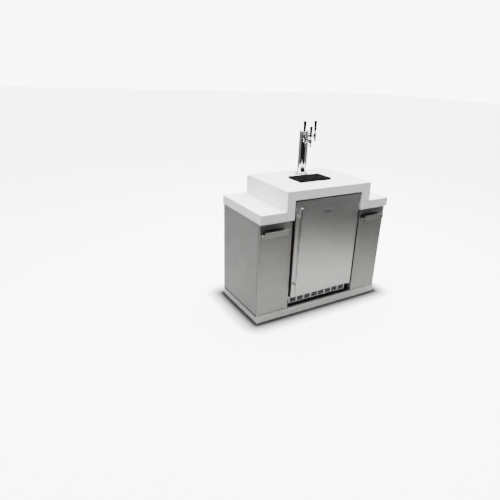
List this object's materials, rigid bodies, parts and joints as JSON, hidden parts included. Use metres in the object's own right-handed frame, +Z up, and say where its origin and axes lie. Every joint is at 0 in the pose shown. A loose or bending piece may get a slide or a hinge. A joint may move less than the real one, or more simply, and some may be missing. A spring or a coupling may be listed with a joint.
{
  "type": "kegerator",
  "caption": "Outdoor kitchen kegerator module: stepped white worktop, steel fridge with a bar handle, chrome tap tower, drip tray and flanking pull-outs.",
  "frame": {"origin": "on the floor, midway between the worktop's ends, at the middle levelling foot", "axes": "+X to the right, +Y towards the back, +Z up; the door faces -Y"},
  "size_m": [1.246, 0.6675, 1.491],
  "materials": {
    "solid_surface": "smooth matt white",
    "core_board": "raw edge",
    "carcase_board": "steel-grey foil, fine texture",
    "black_board": "fine texture",
    "plinth_steel": "brushed, horizontal grain",
    "black_plastic": "moulded",
    "zinc_steel": "zinc plated",
    "brushed_steel": "brushed",
    "door_steel": "brushed, horizontal grain",
    "handle_steel": "fine brushed",
    "black_steel": "satin black",
    "foam": "closed-cell foam, matt",
    "liner_steel": "brushed",
    "liner_plastic": "satin moulded",
    "button_rubber": "matt",
    "gasket_rubber": "soft matt",
    "badge_metal": "satin",
    "bottle_aluminium": "brushed",
    "brass": "machined",
    "chrome": "polished",
    "handle_black": "gloss black",
    "black_satin_metal": "satin black"
  },
  "bodies": {
    "module": {"worktop_left": "solid_surface", "worktop_right": "solid_surface", "worktop_bridge": "solid_surface", "riser_left": "solid_surface", "riser_right": "solid_surface", "worktop_cores": "core_board", "side_panel_left": "carcase_board", "side_panel_right": "carcase_board", "partition_left": "black_board", "partition_right": "black_board", "base_panel": "black_board", "plinth": "plinth_steel", "levelling_feet": "black_plastic", "back_panels": "carcase_board", "back_panel_vent": "carcase_board", "runners_outer": "zinc_steel", "fridge_case": "black_steel", "fridge_insulation": "foam", "fridge_liner": "liner_steel", "evaporator_cover": "liner_plastic", "control_panel": "black_plastic", "compressor": "black_steel", "condenser": "black_steel", "toe_grille": "brushed_steel", "hinge_brackets": "zinc_steel", "co2_cylinder": "bottle_aluminium", "co2_valve": "brass", "regulator": "brass", "tower_column": "chrome", "tower_cap": "chrome", "faucet_left": "chrome", "faucet_centre": "chrome", "faucet_right": "chrome"},
    "door": {"door_skin": "door_steel", "door_foam": "foam", "door_liner": "liner_plastic", "door_gasket": "gasket_rubber", "door_handle": "handle_steel", "badge": "badge_metal"},
    "pullout_left": {"pullout_left_front": "brushed_steel", "pullout_left_handle": "brushed_steel", "pullout_left_tray": "zinc_steel"},
    "pullout_right": {"pullout_right_front": "brushed_steel", "pullout_right_handle": "brushed_steel", "pullout_right_tray": "zinc_steel"},
    "tap_left": {"tap_lever_left": "chrome", "tap_handle_left": "handle_black"},
    "tap_centre": {"tap_lever_centre": "chrome", "tap_handle_centre": "handle_black"},
    "tap_right": {"tap_lever_right": "chrome", "tap_handle_right": "handle_black"},
    "drip_pan": {"drip_tray": "black_satin_metal"},
    "drip_cover": {"drip_grid": "black_satin_metal"},
    "evaporator_rotor": {"evaporator_fan": "black_plastic"},
    "condenser_rotor": {"condenser_fan": "black_plastic"},
    "handwheel": {"co2_handwheel": "black_plastic"},
    "pressure_knob": {"regulator_knob": "black_plastic"},
    "power_key": {"button_power": "button_rubber"},
    "up_key": {"button_up": "button_rubber"},
    "down_key": {"button_down": "button_rubber"}
  },
  "joints": [
    {"name": "door_swing", "type": "hinge", "parent": "module", "child": "door", "pos_m": [0.301, -0.273, 0.56], "axis": [0, 0, 1], "range_deg": [0, 90]},
    {"name": "pullout_left_slide", "type": "slide", "parent": "module", "child": "pullout_left", "axis": [0, -1, 0], "range_m": [0, 0.4]},
    {"name": "pullout_right_slide", "type": "slide", "parent": "module", "child": "pullout_right", "axis": [0, -1, 0], "range_m": [0, 0.4]},
    {"name": "tap_left_pull", "type": "hinge", "parent": "module", "child": "tap_left", "pos_m": [-0.00777, 0.09964, 1.381], "axis": [0.8192, -0.5736, 0], "range_deg": [0, 28]},
    {"name": "tap_centre_pull", "type": "hinge", "parent": "module", "child": "tap_centre", "pos_m": [0.045, 0.083, 1.339], "axis": [1, 0, 0], "range_deg": [0, 28]},
    {"name": "tap_right_pull", "type": "hinge", "parent": "module", "child": "tap_right", "pos_m": [0.09777, 0.09964, 1.381], "axis": [0.8192, 0.5736, 0], "range_deg": [0, 28]},
    {"name": "drip_tray_lift", "type": "slide", "parent": "module", "child": "drip_pan", "axis": [0, 0, 1], "range_m": [0, 0.08]},
    {"name": "drip_grid_lift", "type": "slide", "parent": "drip_pan", "child": "drip_cover", "axis": [0, 0, 1], "range_m": [0, 0.08]},
    {"name": "evaporator_fan_spin", "type": "hinge", "parent": "module", "child": "evaporator_rotor", "pos_m": [-0.052, 0.2, 0.8], "axis": [0, 1, 0], "continuous": true},
    {"name": "condenser_fan_spin", "type": "hinge", "parent": "module", "child": "condenser_rotor", "pos_m": [-0.17, 0.214, 0.166], "axis": [1, 0, 0], "continuous": true},
    {"name": "bottle_valve_turn", "type": "hinge", "parent": "module", "child": "handwheel", "pos_m": [0.172, 0.16, 0.704], "axis": [0, 0, 1], "continuous": true},
    {"name": "pressure_knob_turn", "type": "hinge", "parent": "module", "child": "pressure_knob", "pos_m": [0.172, 0.08, 0.676], "axis": [0, -1, 0], "continuous": true},
    {"name": "power_press", "type": "slide", "parent": "module", "child": "power_key", "axis": [0, 1, 0], "range_m": [0, 0.0012], "stiffness_N_per_m": 400},
    {"name": "down_press", "type": "slide", "parent": "module", "child": "down_key", "axis": [0, 1, 0], "range_m": [0, 0.0012], "stiffness_N_per_m": 400},
    {"name": "up_press", "type": "slide", "parent": "module", "child": "up_key", "axis": [0, 1, 0], "range_m": [0, 0.0012], "stiffness_N_per_m": 400}
  ]
}
